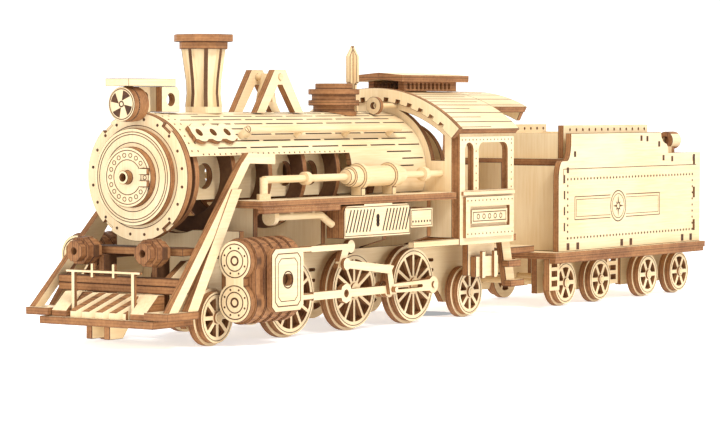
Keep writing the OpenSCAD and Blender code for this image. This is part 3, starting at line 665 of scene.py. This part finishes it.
# %% Engrave the cab
roof_front = mm_box("cab_roof")[0][0]
WALL_Y, PANEL_Y, PLATE_Y = 28, 29, 28.8
cab = Engraving("cab_engraving", LOCO)
planks = Engraving("roof_planks", LOCO)
roof = on_drum(ROOF_R / MM, ROOF_Z / MM)
for k in range(-13, 14):
    v = k * 2.35
    end = 10.0 if abs(v) > 19.5 else 29.6
    start = 14.4 if abs(v) < 9.0 else roof_front + 0.4
    if k % 2:
        planks.line(roof, [(start + 1.5, v), (start + (end - start) * 0.55, v)], 0.2)
    else:
        planks.line(roof, [(start, v), (end, v)], 0.26)
for side in (-1, 1):
    wall, panel, plate = (on_side(y, side) for y in (WALL_Y, PANEL_Y, PLATE_Y))
    cab.rivets(wall, (-20.6, 53.2), (6.8, 53.2), 2.0, 0.26)
    cab.rivets(wall, (6.6, 39), (6.6, 52), 2.0, 0.26)
    cab.rivets(wall, (-13, 39), (-13, 52), 2.0, 0.26)
    cab.rivets(panel, (-19, 25.6), (5.5, 25.6), 2.0, 0.26)
    cab.rivets(panel, (-19, 35.4), (5.5, 35.4), 2.0, 0.26)
    cab.frame(plate, -15.8, 2.3, 29.3, 31.9, 0.24)
    for k in range(5):
        cab.ring(plate, -13 + k * 3.1, 30.6, 0.7, 0.26, 12)
cab.make()
planks.make()

# %% [markdown]
# ## Tender
# Rows of rivets frame the tender's side, and a long frame with a round badge sits in the middle.
# The badge is a plain compass star here.

# %% Engrave the tender
tender_y = mm_box("tender_sides")[1][1]
tank = Engraving("tender_engraving", TENDER)
BADGE_X, BADGE_Z, BADGE_HALF = 78.5, 31.0, 5.1
SLITS = ((50.4, 48), (46, 43), (93, 52.6), (97, 52.4), (105, 50.6), (108, 46), (114, 45.6), (129, 45.6))
for side in (-1, 1):
    wall = on_side(tender_y, side)
    for z in (21.7, 40.2):
        tank.rivets(wall, (46.6, z), (128.8, z), 2.05, 0.4)
    for x in (46.6, 128.8):
        tank.rivets(wall, (x, 21.7), (x, 40.2), 2.05, 0.4)
    for u, v in SLITS:
        tank.patch(wall, [(u, v - 0.9), (u + 1.3, v - 0.9), (u + 1.3, v + 0.9), (u, v + 0.9)])
    for inset, width in ((0, 0.24), (0.9, 0.15)):
        for end, badge in ((51 + inset, BADGE_X - BADGE_HALF), (106 - inset, BADGE_X + BADGE_HALF)):
            low, top = 27.4 + inset, 34.6 - inset
            tank.line(wall, [(badge, low), (end, low), (end, top), (badge, top)], width)
    tank.ring(wall, BADGE_X, BADGE_Z, 4.9, 0.32, 40)
    tank.ring(wall, BADGE_X, BADGE_Z, 3.9, 0.2, 36)
    for k, a in enumerate(angles(8)):
        reach = 3.4 if k % 2 == 0 else 2.0
        tank.patch(wall, [(BADGE_X + 0.9 * math.cos(a - 0.5), BADGE_Z + 0.9 * math.sin(a - 0.5)),
                          (BADGE_X + reach * math.cos(a), BADGE_Z + reach * math.sin(a)),
                          (BADGE_X + 0.9 * math.cos(a + 0.5), BADGE_Z + 0.9 * math.sin(a + 0.5))])
    for u in (46, 52, 80, 86, 121, 127):
        tank.patch(wall, [(u, 18.0), (u + 1.7, 18.0), (u + 1.7, 20.2), (u, 20.2)])
    tank.line(wall, [(44, 38.9), (44, 43.4), (131.5, 43.4)], 0.2)
    for k in range(4):
        tank.line(wall, [(44.6, 24 + k * 5), (44.6, 26.6 + k * 5)], 0.8)
tank.make()

# %% [markdown]
# ## Wheels
# Each rim carries a fine engraved circle. The circle turns with its wheelset, so each wheelset gets
# its own.

# %% Engrave the wheels
WHEEL_FACE, LINE_IN = 20, 1.45
for name in sorted(frame["nodes"]):
    if "wheelset" not in name:
        continue
    low, high = mm_box(name)
    middle_x, radius = (low[0] + high[0]) / 2, (high[2] - low[2]) / 2
    circle = Engraving(name + "_rim_lines", name + "_body")
    for side in (-1, 1):
        circle.ring(on_side(WHEEL_FACE, side), middle_x, radius, radius - LINE_IN, 0.2, 48)
    circle.make()

# %% [markdown]
# ## Floor and light
# The set is a plain pale floor. Seen from the camera, one broad soft key light stands at the upper
# right and a wide fill at the left, with one light above and one behind.

# %% The studio
FLOOR_HALF, BACKDROP, SWEEP, FLOOR_SIDES = 6.0, 3.0, 1.2, 48


def plain(name, colour, rough, glow):
    """One flat finish for the set, with a little light of its own so that the backdrop stays white."""
    material = bpy.data.materials.new(name)
    material.use_nodes = True
    shader = material.node_tree.nodes["Principled BSDF"]
    shader.inputs["Base Color"].default_value = colour
    shader.inputs["Roughness"].default_value = rough
    shader.inputs["Emission Color"].default_value = (1, 1, 1, 1)
    shader.inputs["Emission Strength"].default_value = glow
    return material


def make_floor():
    """A round floor that sweeps up into a backdrop all the way round."""
    mesh = bmesh.new()
    bend = [(FLOOR_HALF + SWEEP * math.sin(a), SWEEP * (1 - math.cos(a))) for a in (0.4, 0.8, 1.2, 1.57)]
    outline = [(0.01, 0), (FLOOR_HALF, 0), *bend, (FLOOR_HALF + SWEEP, BACKDROP)]
    rings = []
    for radius, z in outline:
        rings.append([mesh.verts.new((radius * math.cos(a), radius * math.sin(a), z))
                      for a in angles(FLOOR_SIDES)])
    for low, high in zip(rings, rings[1:]):
        for i in range(FLOOR_SIDES):
            j = (i + 1) % FLOOR_SIDES
            mesh.faces.new((low[i], low[j], high[j], high[i])).smooth = True
    data = bpy.data.meshes.new("studio_floor")
    mesh.to_mesh(data)
    mesh.free()
    data.materials.append(plain("floor_white", (0.9, 0.9, 0.9, 1), 0.8, 0.55))
    floor = bpy.data.objects.new("studio_floor", data)
    bpy.context.scene.collection.objects.link(floor)


def area_light(name, place, target, size, watts):
    data = bpy.data.lights.new(name, "AREA")
    data.shape, data.size, data.energy = "DISK", size, watts
    lamp = bpy.data.objects.new(name, data)
    lamp.location = place
    lamp.rotation_euler = (Vector(target) - Vector(place)).to_track_quat("-Z", "Y").to_euler()
    bpy.context.scene.collection.objects.link(lamp)


make_floor()
print("floor flat out to", FLOOR_HALF, "m from the middle")
area_light("key", (-0.35, -0.85, 1.0), (0, 0, 0.03), 0.45, 15)
area_light("fill", (-1.1, 0.15, 0.45), (0, 0, 0.04), 0.8, 4.5)
area_light("top", (0.1, 0.1, 1.3), (0, 0, 0), 0.9, 6)
area_light("rear", (0.8, 0.9, 0.7), (0, 0, 0.03), 0.8, 6)
world = bpy.data.worlds.new("studio_air")
world.use_nodes = True
world.node_tree.nodes["Background"].inputs[0].default_value = (1, 1, 1, 1)
world.node_tree.nodes["Background"].inputs[1].default_value = 0.42
bpy.context.scene.world = world
bpy.context.scene.view_settings.view_transform = "Standard"

# %% [markdown]
# ## The camera
# A long lens stands far back, which keeps the locomotive's length from swelling towards the viewer.
# It is well ahead of the locomotive and to its left, with its eye low, just above the boiler.

# %% Aim the camera
EYE, HEADING, DIP, LENS = (-0.6992, -0.4649, 0.0631), 55.11, 2.30, 138.2
camera_data = bpy.data.cameras.new("camera")
camera_data.lens, camera_data.sensor_width = LENS, 36.0
camera_data.clip_start, camera_data.clip_end = 0.01, 50
camera = bpy.data.objects.new("camera", camera_data)
camera.location = EYE
camera.rotation_euler = (math.radians(90 - DIP), 0, math.radians(-HEADING))
bpy.context.scene.collection.objects.link(camera)
bpy.context.scene.camera = camera
print("camera", EYE, "lens", LENS, "mm")
